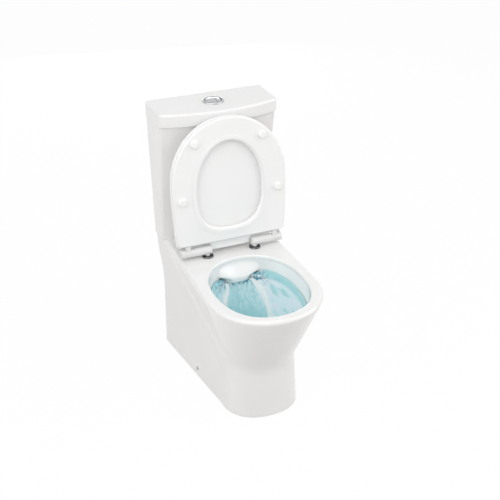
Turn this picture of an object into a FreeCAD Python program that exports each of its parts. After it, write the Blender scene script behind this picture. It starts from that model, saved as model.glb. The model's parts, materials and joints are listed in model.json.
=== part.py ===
import FreeCAD, Part
import math
import os
from FreeCAD import Vector

# A close-coupled toilet that stands on the floor with its back to the wall.
# Millimetres, +Z up, front towards -Y, origin on the floor under the middle.
# "Reach" is the distance from the wall towards the front.

os.makedirs("parts", exist_ok=True)

# Overall sizes
overall_depth = 630.0
rim_height = 400.0
cistern_height = 400.0
cistern_lid_height = 38.0

# Pan, outer form: a bowl cone that runs down into a plinth
rim_half_width = 171.0
rim_back_half_width = 160.0
rim_lead = 32.0
rim_band = 14.0
rim_edge_radius = 10.0
waist_height = 150.0
waist_half_width = 100.0
waist_length = 104.0
waist_setback = 15.0
plinth_half_width = 118.0
plinth_back_half_width = 165.0
plinth_length = 112.0
plinth_setback = 7.0
plinth_lean = 0.055
flare_half_width = 172.0
flare_start = 225.0
back_corner_radius = 32.0
deck_corner_radius = 8.0
crease_softness = 12.0
skin_levels = 20
bluntness = 2.3
rim_bluntness = 2.05

# Pan, inside
pan_wall = 11.0
deck_thickness = 14.0
bowl_half_width = 137.0
rim_land = 32.0
hinge_room = 3.0
bowl_edge_radius = 6.0
bowl_wall = 12.0
bowl_profile = [(0.0, 1.0, 0.0), (0.28, 0.93, 0.045), (0.52, 0.77, 0.17), (0.74, 0.54, 0.48),
                (1.0, 0.12, 0.94)]
sump_depth = 250.0
sump_setback = 96.0
trap_bore = 76.0
throat_step = 4.0
trap_bend_radius = 60.0
trap_rise_angle = 50.0
outlet_diameter = 102.0
outlet_height = 190.0
outlet_setback = 60.0
seal_depth = 50.0

# Flush way through the pan
recess_depth = 32.0
recess_clearance = 1.0
channel_half_width = 30.0
channel_height = 33.0
channel_wall = 10.0
nose_half_width = 43.0
nose_top_half_width = 78.0
nose_drop = 72.0
nose_depth = 28.0
nose_thickness = 8.0
nose_lip_rounding = 4.0
nose_sink = 2.0
nose_swell_start = 0.2
nose_flare_start = 0.12
nose_flare_end = 0.5
nose_levels = [0.0, 0.05, 0.1, 0.17, 0.24, 0.31, 0.38, 0.45, 0.55, 0.65, 0.8, 0.9, 1.0]
nozzle_half_width = 74.0
nozzle_share = 0.78
jet_diameter = 38.0
jet_x = 58.0
gallery_depth = 8.0

# Cistern
cistern_wall = 10.0
cistern_floor = 12.0
cistern_top_half_width = 185.0
cistern_side_taper = 12.0
cistern_top_side_depth = 118.0
cistern_bottom_side_depth = 62.0
cistern_bow = 32.0
cistern_corner_radius = 14.0
lid_side_overhang = 1.0
lid_overhang = 8.0
lid_corner_radius = 16.0
lid_edge_radius = 7.0
lid_roof = 11.0
lid_lip_clearance = 2.5
lid_lip_thickness = 6.0
lid_lip_drop = 10.0

# Flush valve
valve_reach = 47.0
tail_diameter = 48.0
tail_bore = 38.0
tail_drop = 28.0
hole_clearance = 1.0
valve_flange_diameter = 68.0
valve_flange_thickness = 4.0
valve_washer_thickness = 3.0
valve_nut_diameter = 66.0
valve_nut_height = 11.0
gasket_clearance = 0.3
gasket_band = 6.0
gasket_edge_radius = 4.0
tower_diameter = 60.0
tower_wall = 3.0
tower_height = 220.0
cage_height = 52.0
cage_window_half_width = 14.0
head_height = 22.0
overflow_diameter = 32.0
overflow_wall = 2.5
overflow_height = 330.0
piston_disc_diameter = 50.0
piston_disc_thickness = 6.0
seal_thickness = 3.0
running_clearance = 0.3

# Dual-flush buttons
button_reach = 75.6
bezel_diameter = 64.0
bezel_height = 4.0
bezel_edge_radius = 2.4
sleeve_diameter = 54.0
sleeve_wall = 2.0
sleeve_drop = 34.0
button_thickness = 7.0
button_split = 6.0
button_clearance = 0.4
button_rise = 1.5
button_edge_radius = 1.2
button_nut_height = 8.0
rod_diameter = 6.0
rod_half_spacing = 13.0
rod_gap = 10.0

# Fill valve
fill_side_room = 55.0
fill_reach = 47.0
shank_diameter = 24.0
inlet_diameter = 20.9
inlet_length = 25.0
shank_bore = 10.0
fill_flange_diameter = 34.0
fill_flange_thickness = 4.0
fill_washer_thickness = 3.0
fill_nut_diameter = 32.0
fill_nut_height = 9.0
fill_pocket_diameter = 46.0
riser_diameter = 16.0
riser_height = 270.0
fill_head_diameter = 36.0
fill_head_height = 28.0
fill_cap_height = 9.0
fill_cap_step = 2.0
fill_cap_edge_radius = 3.0
float_width = 44.0
float_depth = 48.0
float_below_arm = 31.0
float_above_arm = 13.0
float_edge_radius = 6.0
float_distance = 42.0
float_arm_thickness = 6.0
float_lug_thickness = 6.0
float_pin_diameter = 4.0
pin_clearance = 0.05

# Cistern bolts
bolt_x = 64.0
bolt_diameter = 8.0
bolt_head_diameter = 18.0
bolt_head_height = 5.0
bolt_seal_diameter = 25.0
bolt_seal_thickness = 5.0
bolt_washer_diameter = 22.0
bolt_washer_thickness = 2.0
bolt_length_below_deck = 26.0
wing_nut_diameter = 16.0
wing_nut_height = 10.0
wing_span = 38.0
wing_thickness = 4.0
wing_droop = 6.0

# Seat ring, lid and hinges
hinge_half_spacing = 77.5
hinge_gap = 56.0
hinge_axis_height = 22.0
seat_underside = 10.0
seat_thickness = 16.0
seat_half_width = 180.0
seat_back_taper = 8.0
seat_setback = 8.0
seat_front_round = 196.0
seat_bluntness = 2.05
seat_rear_edge = 26.0
seat_edge_radius = 5.0
seat_corner_radius = 15.0
seat_side_land = 76.0
opening_front_land = 71.0
opening_rear_land = 66.0
opening_front_length = 147.0
opening_rear_bluntness = 2.8
bead_width = 9.0
bead_inset = 6.0
bead_height = 2.0
seat_lid_gap = 2.0
seat_lid_thickness = 14.0
seat_lid_inset = 1.0
seat_lid_edge_radius = 5.0
lid_rear_edge = 14.0
lid_flap_depth = 21.0
lid_flap_gap = 2.0
lid_flap_radius = 6.0
bumper_diameter = 22.0
bumper_gap = 0.3
bumper_edge_radius = 3.0
bumper_half_spacing = 106.0
bumper_setback = 67.0
rear_bumper_half_spacing = 152.0
rear_bumper_reach = 171.0
lid_bumper_diameter = 14.0
lid_bumper_half_spacing = 140.0
lid_bumper_setback = 123.0
rear_lid_bumper_half_spacing = 150.0
rear_lid_bumper_reach = 120.0
barrel_diameter = 26.0
barrel_edge_radius = 2.0
barrel_inner_x = 66.0
barrel_outer_x = 133.6
knuckle_gap = 0.4
seat_knuckle_length = 14.0
lid_knuckle_length = 15.0
tongue_depth = 36.0
neck_step = 2.0
tongue_thickness = 6.0
hinge_pin_diameter = 8.0
hinge_pin_inset = 6.0
rest_gap = 1.0
post_diameter = 14.0
rosette_diameter = 36.0
rosette_height = 5.0
rosette_edge_radius = 3.5
stud_diameter = 8.0
stud_length = 70.0
stud_hole_clearance = 2.0
hinge_washer_diameter = 30.0
hinge_washer_thickness = 4.0
hinge_nut_diameter = 24.0
hinge_nut_height = 14.0

# Side fixings
side_screw_reach = 256.0
side_screw_height = 26.0
side_screw_diameter = 6.0
side_screw_head_diameter = 11.0
side_screw_head_height = 3.0
side_screw_edge_radius = 1.0
side_screw_standoff = 1.0
bracket_width = 36.0
bracket_foot = 40.0
bracket_height = 46.0
bracket_thickness = 6.0
bracket_gap = 3.0
floor_hole_diameter = 7.0

# Values worked out from the sizes above
wall_y = overall_depth / 2
UP = Vector(0, 0, 1)
DOWN = Vector(0, 0, -1)
ACROSS = Vector(1, 0, 0)
deck_underside = rim_height - deck_thickness
lid_lip_inset = cistern_wall + lid_overhang + lid_lip_clearance
cistern_inside = rim_height + cistern_floor
cistern_top = rim_height + cistern_height
lid_top = cistern_top + cistern_lid_height
recess_floor = rim_height - recess_depth
channel_top = recess_floor - channel_wall
channel_bottom = channel_top - channel_height
gasket_diameter = valve_nut_diameter + 2 * gasket_band
recess_diameter = gasket_diameter + 2 * recess_clearance
hinge_height = rim_height + hinge_axis_height
cistern_bottom_half_width = cistern_top_half_width - cistern_side_taper
lid_half_width = cistern_top_half_width + lid_side_overhang
fill_x = cistern_bottom_half_width - fill_side_room
cistern_front = cistern_top_side_depth + lid_overhang + cistern_bow
hinge_reach = cistern_front + hinge_gap
bowl_rear = hinge_reach + hinge_washer_diameter / 2 + hinge_room + 2 * bowl_wall
bowl_half_length = (overall_depth - rim_land - bowl_rear) / 2
bowl_centre_reach = bowl_rear + bowl_half_length
rim_centre_reach = bowl_centre_reach + rim_lead
waist_centre_reach = bowl_centre_reach - waist_setback
plinth_centre_reach = bowl_centre_reach - plinth_setback
sump_reach = bowl_rear + sump_setback
nozzle_back = bowl_rear - bowl_wall
nose_bottom = rim_height - nose_drop
seat_length = overall_depth - hinge_reach - seat_setback
seat_centre = seat_length - seat_front_round
seat_back_half_width = seat_half_width - seat_back_taper
opening_half_width = seat_half_width - seat_side_land
opening_centre = seat_length - opening_front_land - opening_front_length
opening_rear_length = opening_centre - opening_rear_land
bumper_places = [(bumper_half_spacing, seat_length - bumper_setback),
                 (rear_bumper_half_spacing, rear_bumper_reach)]
lid_bumper_places = [(lid_bumper_half_spacing, seat_length - lid_bumper_setback),
                     (rear_lid_bumper_half_spacing, rear_lid_bumper_reach)]


def at(x, reach, z):
    return Vector(x, wall_y - reach, z)


def block(x0, x1, reach0, reach1, z0, z1):
    return Part.makeBox(x1 - x0, reach1 - reach0, z1 - z0, at(x0, reach1, z0))


def rod(diameter, length, base, axis=UP):
    return Part.makeCylinder(diameter / 2, length, base, axis)


def ring(outer, inner, length, base, axis=UP):
    return rod(outer, length, base, axis).cut(rod(inner, length, base, axis))


def hexagon(across_flats, height, base):
    corner = across_flats / math.sqrt(3)
    points = [base + Vector(corner * math.cos(i * math.pi / 3), corner * math.sin(i * math.pi / 3), 0)
              for i in range(7)]
    return Part.Face(Part.makePolygon(points)).extrude(Vector(0, 0, height))


def mirrored(shape):
    return shape.mirror(Vector(0, 0, 0), ACROSS)


def pair(shape):
    return [shape, mirrored(shape)]


def save(name, *solids):
    shape = solids[0] if len(solids) == 1 else Part.makeCompound(list(solids))
    shape.exportStep("parts/" + name + ".step")


def chord_parameters(points):
    total = [0.0]
    for first, second in zip(points, points[1:]):
        total.append(total[-1] + first.distanceToPoint(second))
    return [value / total[-1] for value in total]


def mix(start, end, share):
    return start + (end - start) * share


def soft_step(value, start, end):
    share = min(1.0, max(0.0, (value - start) / (end - start)))
    return share * share * (3 - 2 * share)


def soft_larger(first, second):
    overlap = max(0.0, crease_softness - abs(first - second))
    return max(first, second) + overlap * overlap / (4 * crease_softness)


# Pan skin: at each height the cone and the plinth are two U shapes, joined by a soft crease
def cone_at(z, inset):
    share = min(1.0, (z - waist_height) / (rim_height - rim_band - waist_height))
    rim_length = overall_depth - rim_centre_reach
    return {
        "half_width": max(crease_softness, mix(waist_half_width, rim_half_width, share) - inset),
        "back_half_width": max(crease_softness, mix(waist_half_width, rim_back_half_width, share) - inset),
        "length": max(crease_softness, mix(waist_length, rim_length, share) - inset),
        "centre": mix(waist_centre_reach, rim_centre_reach, share),
        "power": mix(bluntness, rim_bluntness, share),
    }


def plinth_at(z, inset):
    flare = soft_step(z, flare_start, rim_height)
    return {
        "half_width": plinth_half_width - plinth_lean * z - inset,
        "back_half_width": mix(plinth_back_half_width, flare_half_width, flare) - inset,
        "length": plinth_length - plinth_lean * z - inset,
        "centre": plinth_centre_reach,
        "power": bluntness,
    }


def side_half_width(form, reach):
    share = min(1.0, reach / form["centre"])
    return mix(form["back_half_width"], form["half_width"], share)


def is_outside(form, x, reach):
    if reach <= form["centre"]:
        return x >= side_half_width(form, reach)
    power = form["power"]
    forward = (reach - form["centre"]) / form["length"]
    return (x / form["half_width"]) ** power + forward ** power >= 1


def distance_to_skin(form, angle):
    near = 0.0
    far = overall_depth
    for _ in range(40):
        middle = (near + far) / 2
        x = abs(middle * math.cos(angle))
        if is_outside(form, x, plinth_centre_reach + middle * math.sin(angle)):
            far = middle
        else:
            near = middle
    return far


def skin_half_width(z, inset, reach):
    return soft_larger(side_half_width(cone_at(z, inset), reach), side_half_width(plinth_at(z, inset), reach))


def skin_outline(z, inset, back_reach, parameters, level):
    corner = mix(back_corner_radius, deck_corner_radius, soft_step(z, flare_start, rim_height))
    corner = max(deck_corner_radius / 2, corner - inset)
    back = skin_half_width(z, inset, 0)
    slope = (back - skin_half_width(z, inset, 2 * corner)) / (2 * corner)
    steep = math.hypot(1, slope)
    centre_x = back - slope * (back_reach + corner) - corner * steep
    side = (centre_x + corner / steep, back_reach + corner + corner * slope / steep)
    half_turn = (math.pi / 2 + math.atan(slope)) / 2
    middle = (centre_x + corner * math.sin(half_turn), back_reach + corner - corner * math.cos(half_turn))

    right = [side]
    for share in (0.1, 0.25, 0.45, 0.65, 0.85):
        reach = mix(side[1], plinth_centre_reach, share)
        right.append((skin_half_width(z, inset, reach), reach))
    nose = []
    for degrees in range(0, 181, 12):
        angle = math.radians(degrees)
        far = soft_larger(distance_to_skin(cone_at(z, inset), angle),
                          distance_to_skin(plinth_at(z, inset), angle))
        nose.append((far * math.cos(angle), plinth_centre_reach + far * math.sin(angle)))
    left = [(-x, reach) for x, reach in reversed(right)]
    points = [at(x, reach, level) for x, reach in right + nose + left]
    skin = Part.BSplineCurve()
    skin.interpolate(Points=points, Parameters=parameters or chord_parameters(points))

    right_corner = Part.Arc(at(centre_x, back_reach, level), at(*middle, level), at(*side, level))
    left_corner = Part.Arc(at(-side[0], side[1], level), at(-middle[0], middle[1], level),
                           at(-centre_x, back_reach, level))
    back_line = Part.LineSegment(at(-centre_x, back_reach, level), at(centre_x, back_reach, level))
    wire = Part.Wire([right_corner.toShape(), skin.toShape(), left_corner.toShape(), back_line.toShape()])
    return wire, chord_parameters(points)


def pan_skin(inset, back_reach, bottom, top):
    step = rim_height / skin_levels
    heights = [index * step for index in range(skin_levels) if index * step < top - step / 2] + [top]
    shared = skin_outline(rim_height / 2, inset, back_reach, None, 0)[1]
    wires = [skin_outline(z, inset, back_reach, shared, z if z else bottom)[0] for z in heights]
    return Part.makeLoft(wires, True, False)


# Bowl: rounded outlines that shrink and move back towards the sump.
# Each row of the profile is a share of the depth, of the full size and of the way back.
def bowl_outline(z, half_width, half_length, centre, power):
    points = []
    for degrees in range(0, 360, 12):
        angle = math.radians(degrees)
        across = math.copysign(abs(math.cos(angle)) ** (2 / power), math.cos(angle))
        along = math.copysign(abs(math.sin(angle)) ** (2 / power), math.sin(angle))
        points.append(at(half_width * across, centre + half_length * along, z))
    parameters = [index / len(points) for index in range(len(points) + 1)]
    curve = Part.BSplineCurve()
    curve.interpolate(Points=points, PeriodicFlag=True, Parameters=parameters)
    return Part.Wire([curve.toShape()])


def bowl_solid(growth, top):
    sump_z = rim_height - sump_depth
    narrow = trap_bore / 2
    wires = [bowl_outline(top, bowl_half_width + growth, bowl_half_length + growth,
                          bowl_centre_reach, bluntness)]
    for drop, size, shift in bowl_profile:
        z = mix(rim_height - 2 * bowl_edge_radius, sump_z, drop)
        wires.append(bowl_outline(z, mix(narrow, bowl_half_width, size) + growth,
                                  mix(narrow, bowl_half_length, size) + growth,
                                  mix(bowl_centre_reach, sump_reach, shift), mix(2.0, bluntness, size)))
    throat = narrow - throat_step + growth / 2
    wires.append(bowl_outline(sump_z - narrow, throat, throat, sump_reach, 2.0))
    wires.reverse()
    return Part.makeLoft(wires, True, False)


# Trap: down from the sump, round the water seal, up to the weir and out to the wall
def trap_path():
    weir = outlet_height - trap_bore / 2
    bend_z = weir - seal_depth + trap_bend_radius - trap_bore / 2
    bend_reach = sump_reach - trap_bend_radius
    rise = math.radians(trap_rise_angle)
    start = at(0, sump_reach, rim_height - sump_depth)
    down = at(0, sump_reach, bend_z)
    lowest = at(0, bend_reach, bend_z - trap_bend_radius)
    up = at(0, bend_reach - trap_bend_radius * math.sin(rise), bend_z - trap_bend_radius * math.cos(rise))
    crest_start_z = outlet_height - trap_bend_radius * (1 - math.cos(rise))
    run = (crest_start_z - up.z) / math.tan(rise)
    crest_reach = wall_y - up.y - run
    crest = at(0, crest_reach, crest_start_z)
    level_reach = crest_reach - trap_bend_radius * math.sin(rise)
    level = at(0, level_reach, outlet_height)
    half = rise / 2
    middle = at(0, level_reach + trap_bend_radius * math.sin(half),
                outlet_height - trap_bend_radius * (1 - math.cos(half)))
    end = at(0, outlet_setback, outlet_height)
    edges = [Part.LineSegment(start, down), Part.Arc(down, lowest, up), Part.LineSegment(up, crest),
             Part.Arc(crest, middle, level), Part.LineSegment(level, end)]
    return Part.Wire([edge.toShape() for edge in edges]), start


def trap_tube(diameter):
    path, start = trap_path()
    profile = Part.Wire([Part.makeCircle(diameter / 2, start, DOWN)])
    return path.makePipeShell([profile], True, False)


# Flush nose: the rear wall swells out of itself towards a lip that hangs over the flush slot
def nose_section(share, inset, back):
    z = mix(nose_bottom, deck_underside, share)
    rounding = nose_lip_rounding * max(0.0, 1 - share / nose_levels[2]) ** 2
    depth = nose_depth * (1 - soft_step(share, nose_swell_start, 1.0)) - rounding - inset
    flare = soft_step(share, nose_flare_start, nose_flare_end)
    half_width = mix(nose_half_width, nose_top_half_width, flare) - inset
    points = []
    for index in range(-8, 9):
        x = half_width * index / 8
        wall = bowl_half_length * (1 - (abs(x) / bowl_half_width) ** bluntness) ** (1 / bluntness)
        swell = (1 - (index / 8) ** 4) ** 1.5
        points.append(at(x, bowl_centre_reach - wall - nose_sink + (depth + nose_sink) * swell, z))
    front = Part.BSplineCurve()
    front.interpolate(Points=points)
    corners = [points[-1], at(half_width, back, z), at(-half_width, back, z), points[0]]
    sides = [Part.LineSegment(first, second).toShape() for first, second in zip(corners, corners[1:])]
    return Part.Wire([front.toShape()] + sides)


def distributor_nose():
    back = bowl_rear - bowl_wall / 2
    return Part.makeLoft([nose_section(share, 0.0, back) for share in nose_levels], True, False)


def nozzle_space():
    levels = [-nose_levels[1]] + [share for share in nose_levels if 0 < share < nozzle_share] + [nozzle_share]
    return Part.makeLoft([nose_section(share, nose_thickness, nozzle_back) for share in levels], True, False)


# Gallery behind the nose that feeds both side jets
def jet_gallery():
    return block(-nozzle_half_width, nozzle_half_width, nozzle_back - gallery_depth / 2,
                 nozzle_back + gallery_depth / 2, nose_bottom, mix(nose_bottom, deck_underside, nozzle_share))


# Side jets: a round-topped mouth at each lower corner of the nose
def jet_mouths():
    length = bowl_rear + nose_depth - nozzle_back
    mouth = rod(jet_diameter, length, at(jet_x, nozzle_back + length, nose_bottom), Vector(0, 1, 0))
    return pair(mouth.common(block(jet_x - jet_diameter, jet_x + jet_diameter, nozzle_back,
                                   nozzle_back + length, nose_bottom, nose_bottom + jet_diameter)))


# The pan is one casting in four touching pieces: skirt with deck, bowl, trap way and flush way
def make_pan():
    outer = pan_skin(0.0, 0.0, 0.0, rim_height)
    edge = max((e for e in outer.Edges if e.BoundBox.ZMin > rim_height - 0.01), key=lambda e: e.Length)
    outer = outer.makeFillet(rim_edge_radius, [edge])
    hollow = pan_skin(pan_wall, -1.0, -1.0, deck_underside)
    inside = bowl_solid(0.0, rim_height + 1)
    skirt = outer.cut([hollow, inside])
    mouth = [e for e in skirt.Edges if e.BoundBox.ZMin > rim_height - 0.01 and
             abs(e.BoundBox.XMax - bowl_half_width) < bowl_wall and e.BoundBox.YMax < wall_y - valve_reach]
    skirt = skirt.makeFillet(bowl_edge_radius, mouth)

    recess = rod(recess_diameter, recess_depth + 1, at(0, valve_reach, recess_floor))
    holes = [recess]
    for x in (-hinge_half_spacing, hinge_half_spacing):
        holes.append(rod(stud_diameter + stud_hole_clearance, deck_thickness + 2,
                         at(x, hinge_reach, deck_underside - 1)))
    for x in (-bolt_x, bolt_x):
        holes.append(rod(bolt_diameter + stud_hole_clearance, deck_thickness + 2,
                         at(x, valve_reach, deck_underside - 1)))
    holes.append(rod(fill_pocket_diameter, deck_thickness + 2, at(fill_x, fill_reach, deck_underside - 1)))
    side_wall = skin_half_width(side_screw_height, 0.0, side_screw_reach)
    side_hole = rod(side_screw_diameter + 2 * hole_clearance, 4 * pan_wall,
                    at(side_wall - 2 * pan_wall, side_screw_reach, side_screw_height), ACROSS)
    save("pan", skirt.cut(holes + pair(side_hole)).removeSplitter())

    channel = block(-channel_half_width, channel_half_width, valve_reach, nozzle_back + 1,
                    channel_bottom, channel_top)
    nozzle_outer = nozzle_half_width + channel_wall
    nozzle_box = block(-nozzle_outer, nozzle_outer, nozzle_back - bowl_wall, bowl_rear + nose_depth,
                       channel_bottom - channel_wall, deck_underside)
    bowl_form = bowl_solid(bowl_wall, rim_height)
    bowl = bowl_form.fuse(nozzle_box).common(hollow).cut(inside)
    bowl = bowl.fuse(distributor_nose())
    bowl = bowl.cut([nozzle_space(), jet_gallery(), channel, trap_tube(trap_bore)] + jet_mouths())
    save("pan_bowl", bowl.removeSplitter())

    trap_way = trap_tube(outlet_diameter).cut([bowl_form, trap_tube(trap_bore)])
    save("pan_trap_way", trap_way.removeSplitter())

    channel_outer = channel_half_width + channel_wall
    recess_outer = recess_diameter / 2 + channel_wall
    flush_way = block(-recess_outer, recess_outer, 0, valve_reach + recess_outer,
                      channel_bottom - channel_wall, deck_underside)
    duct = block(-channel_outer, channel_outer, valve_reach, nozzle_back - bowl_wall,
                 channel_bottom - channel_wall, channel_top + channel_wall)
    drop_hole = rod(tail_diameter + 2 * recess_clearance, channel_height + channel_wall,
                    at(0, valve_reach, channel_bottom))
    save("pan_flush_way", flush_way.fuse(duct).cut([channel, recess, drop_hole]).removeSplitter())


# Cistern and its lid share one bowed outline
def bowed_outline(half_width, back, side_depth, centre_depth, corner, z):
    bow = centre_depth - side_depth
    radius = (half_width ** 2 + bow ** 2) / (2 * bow)
    centre = centre_depth - radius
    corner_reach = centre + math.sqrt((radius - corner) ** 2 - (half_width - corner) ** 2)
    corner_x = half_width - corner
    length = math.hypot(corner_x, corner_reach - centre)
    tangent_x = radius * corner_x / length
    tangent_reach = centre + radius * (corner_reach - centre) / length
    half_turn = math.atan2(corner_reach - centre, corner_x) / 2
    middle_x = corner_x + corner * math.cos(half_turn)
    middle_reach = corner_reach + corner * math.sin(half_turn)
    edges = [
        Part.LineSegment(at(half_width, back, z), at(half_width, corner_reach, z)),
        Part.Arc(at(half_width, corner_reach, z), at(middle_x, middle_reach, z),
                 at(tangent_x, tangent_reach, z)),
        Part.Arc(at(tangent_x, tangent_reach, z), at(0, centre_depth, z), at(-tangent_x, tangent_reach, z)),
        Part.Arc(at(-tangent_x, tangent_reach, z), at(-middle_x, middle_reach, z),
                 at(-half_width, corner_reach, z)),
        Part.LineSegment(at(-half_width, corner_reach, z), at(-half_width, back, z)),
        Part.LineSegment(at(-half_width, back, z), at(half_width, back, z)),
    ]
    return Part.Wire([edge.toShape() for edge in edges])


def cistern_outline(z, inset, back):
    share = (z - rim_height) / cistern_height
    side_depth = mix(cistern_bottom_side_depth, cistern_top_side_depth, share)
    half_width = mix(cistern_bottom_half_width, cistern_top_half_width, share)
    corner = max(cistern_corner_radius - inset, cistern_corner_radius / 4)
    return bowed_outline(half_width - inset, back, side_depth - inset, side_depth + cistern_bow - inset,
                         corner, z)


def make_cistern():
    outer = Part.makeLoft([cistern_outline(z, 0, -cistern_wall) for z in (rim_height, cistern_top)],
                          True, True)
    behind = block(-lid_half_width, lid_half_width, -2 * cistern_wall, 0, rim_height - 1, cistern_top + 1)
    inner = Part.makeLoft([cistern_outline(z, cistern_wall, cistern_wall)
                           for z in (cistern_inside, cistern_top + 1)], True, True)
    holes = [rod(tail_diameter + 2 * hole_clearance, cistern_floor + 2, at(0, valve_reach, rim_height - 1)),
             rod(shank_diameter + 2 * hole_clearance, cistern_floor + 2,
                 at(fill_x, fill_reach, rim_height - 1))]
    for x in (-bolt_x, bolt_x):
        holes.append(rod(bolt_diameter + 2 * hole_clearance, cistern_floor + 2,
                         at(x, valve_reach, rim_height - 1)))
    return outer.cut([behind, inner] + holes)


def lid_outline(inset, z):
    side_depth = cistern_top_side_depth + lid_overhang
    corner = max(lid_corner_radius - inset, lid_corner_radius / 4)
    return bowed_outline(lid_half_width - inset, inset, side_depth - inset, side_depth + cistern_bow - inset,
                         corner, z)


def raised(wire, height):
    return Part.Face(wire).extrude(Vector(0, 0, height))


def make_cistern_lid():
    body = raised(lid_outline(0, cistern_top), cistern_lid_height)
    edges = [e for e in body.Edges if e.BoundBox.ZMin > lid_top - 0.01 and e.BoundBox.YMax < wall_y - 1]
    sides = [e for e in body.Edges if e.BoundBox.ZMin > lid_top - 0.01 and e.BoundBox.XLength < 0.01]
    body = body.makeFillet(lid_edge_radius, edges + sides)
    lip = raised(lid_outline(lid_lip_inset, cistern_top - lid_lip_drop), lid_lip_drop + 1)
    hollow = raised(lid_outline(lid_lip_inset + lid_lip_thickness, cistern_top - lid_lip_drop),
                    lid_lip_drop + cistern_lid_height - lid_roof)
    hole = rod(sleeve_diameter + 2 * hole_clearance, lid_roof + 2,
               at(0, button_reach, lid_top - lid_roof - 1))
    return body.fuse(lip).cut([hollow, hole])


# Cistern joint
def make_coupling():
    gasket_top = rim_height - valve_nut_height - gasket_clearance
    gasket = ring(gasket_diameter, tail_diameter + 2 * gasket_clearance, gasket_top - recess_floor,
                  at(0, valve_reach, recess_floor))
    rounded = [e for e in gasket.Edges
               if e.BoundBox.ZLength < 0.01 and e.BoundBox.XLength > gasket_diameter - 1]
    save("coupling_gasket", gasket.makeFillet(gasket_edge_radius, rounded))

    bolt_base = at(bolt_x, valve_reach, deck_underside - bolt_length_below_deck)
    head_base = at(bolt_x, valve_reach, cistern_inside + bolt_seal_thickness)
    shank_length = head_base.z - bolt_base.z
    bolt_head = rod(bolt_head_diameter, bolt_head_height, head_base)
    bolt = rod(bolt_diameter, shank_length, bolt_base).fuse(bolt_head)
    save("cistern_bolts", *pair(bolt.removeSplitter()))
    snug = bolt_diameter + 2 * pin_clearance
    save("cistern_bolt_seals", *pair(ring(bolt_seal_diameter, snug, bolt_seal_thickness,
                                          at(bolt_x, valve_reach, cistern_inside))))
    washer_base = deck_underside - bolt_washer_thickness
    save("cistern_bolt_washers", *pair(ring(bolt_washer_diameter, snug, bolt_washer_thickness,
                                            at(bolt_x, valve_reach, washer_base))))
    nut_base = washer_base - wing_nut_height
    wings = block(bolt_x - wing_thickness / 2, bolt_x + wing_thickness / 2, valve_reach - wing_span / 2,
                  valve_reach + wing_span / 2, nut_base - wing_droop, nut_base + wing_nut_height / 2)
    nut = rod(wing_nut_diameter, wing_nut_height, at(bolt_x, valve_reach, nut_base)).fuse(wings)
    nut = nut.cut(rod(snug, wing_nut_height + wing_droop, at(bolt_x, valve_reach, nut_base - wing_droop)))
    save("cistern_wing_nuts", *pair(nut))


# Flush valve
flange_bottom = cistern_inside + valve_washer_thickness
flange_top = flange_bottom + valve_flange_thickness
tower_top = flange_top + tower_height
piston_bottom = flange_top + running_clearance
overflow_top = piston_bottom + overflow_height


def make_flush_valve():
    tail_length = flange_bottom - rim_height + tail_drop
    base = rod(tail_diameter, tail_length, at(0, valve_reach, rim_height - tail_drop))
    base = base.fuse(rod(valve_flange_diameter, valve_flange_thickness, at(0, valve_reach, flange_bottom)))
    base = base.cut(rod(tail_bore, tail_length + valve_flange_thickness,
                        at(0, valve_reach, rim_height - tail_drop)))
    save("flush_valve_base", base.removeSplitter())
    save("flush_valve_washer", ring(valve_flange_diameter, tail_diameter + 2 * pin_clearance,
                                    valve_washer_thickness, at(0, valve_reach, cistern_inside)))
    nut = hexagon(valve_nut_diameter * math.cos(math.pi / 6), valve_nut_height,
                  at(0, valve_reach, rim_height - valve_nut_height))
    save("flush_valve_nut", nut.cut(rod(tail_diameter + 2 * pin_clearance, valve_nut_height,
                                        at(0, valve_reach, rim_height - valve_nut_height))))

    tower = ring(tower_diameter, tower_diameter - 2 * tower_wall, tower_height,
                 at(0, valve_reach, flange_top))
    half = tower_diameter / 2 + 1
    window = cage_window_half_width
    sill = flange_top + tower_wall
    lintel = sill + cage_height
    tower = tower.cut([block(-half, half, valve_reach - window, valve_reach + window, sill, lintel),
                       block(-window, window, valve_reach - half, valve_reach + half, sill, lintel)])
    save("flush_valve_tower", tower)

    shelf = block(-rod_half_spacing - rod_diameter, rod_half_spacing + rod_diameter, valve_reach,
                  button_reach + rod_diameter, tower_top, tower_top + head_height)
    head = rod(tower_diameter, head_height, at(0, valve_reach, tower_top)).fuse(shelf)
    head = head.cut(rod(overflow_diameter + 2 * running_clearance, head_height,
                        at(0, valve_reach, tower_top)))
    save("flush_valve_head", head.removeSplitter())

    disc_base = piston_bottom + seal_thickness
    overflow_bore = overflow_diameter - 2 * overflow_wall
    piston = rod(overflow_diameter, overflow_height - seal_thickness, at(0, valve_reach, disc_base))
    piston = piston.fuse(rod(piston_disc_diameter, piston_disc_thickness, at(0, valve_reach, disc_base)))
    piston = piston.cut(rod(overflow_bore, overflow_height, at(0, valve_reach, disc_base)))
    save("overflow_piston", piston.removeSplitter())
    save("piston_seal", ring(piston_disc_diameter, overflow_bore, seal_thickness,
                             at(0, valve_reach, piston_bottom)))


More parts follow.
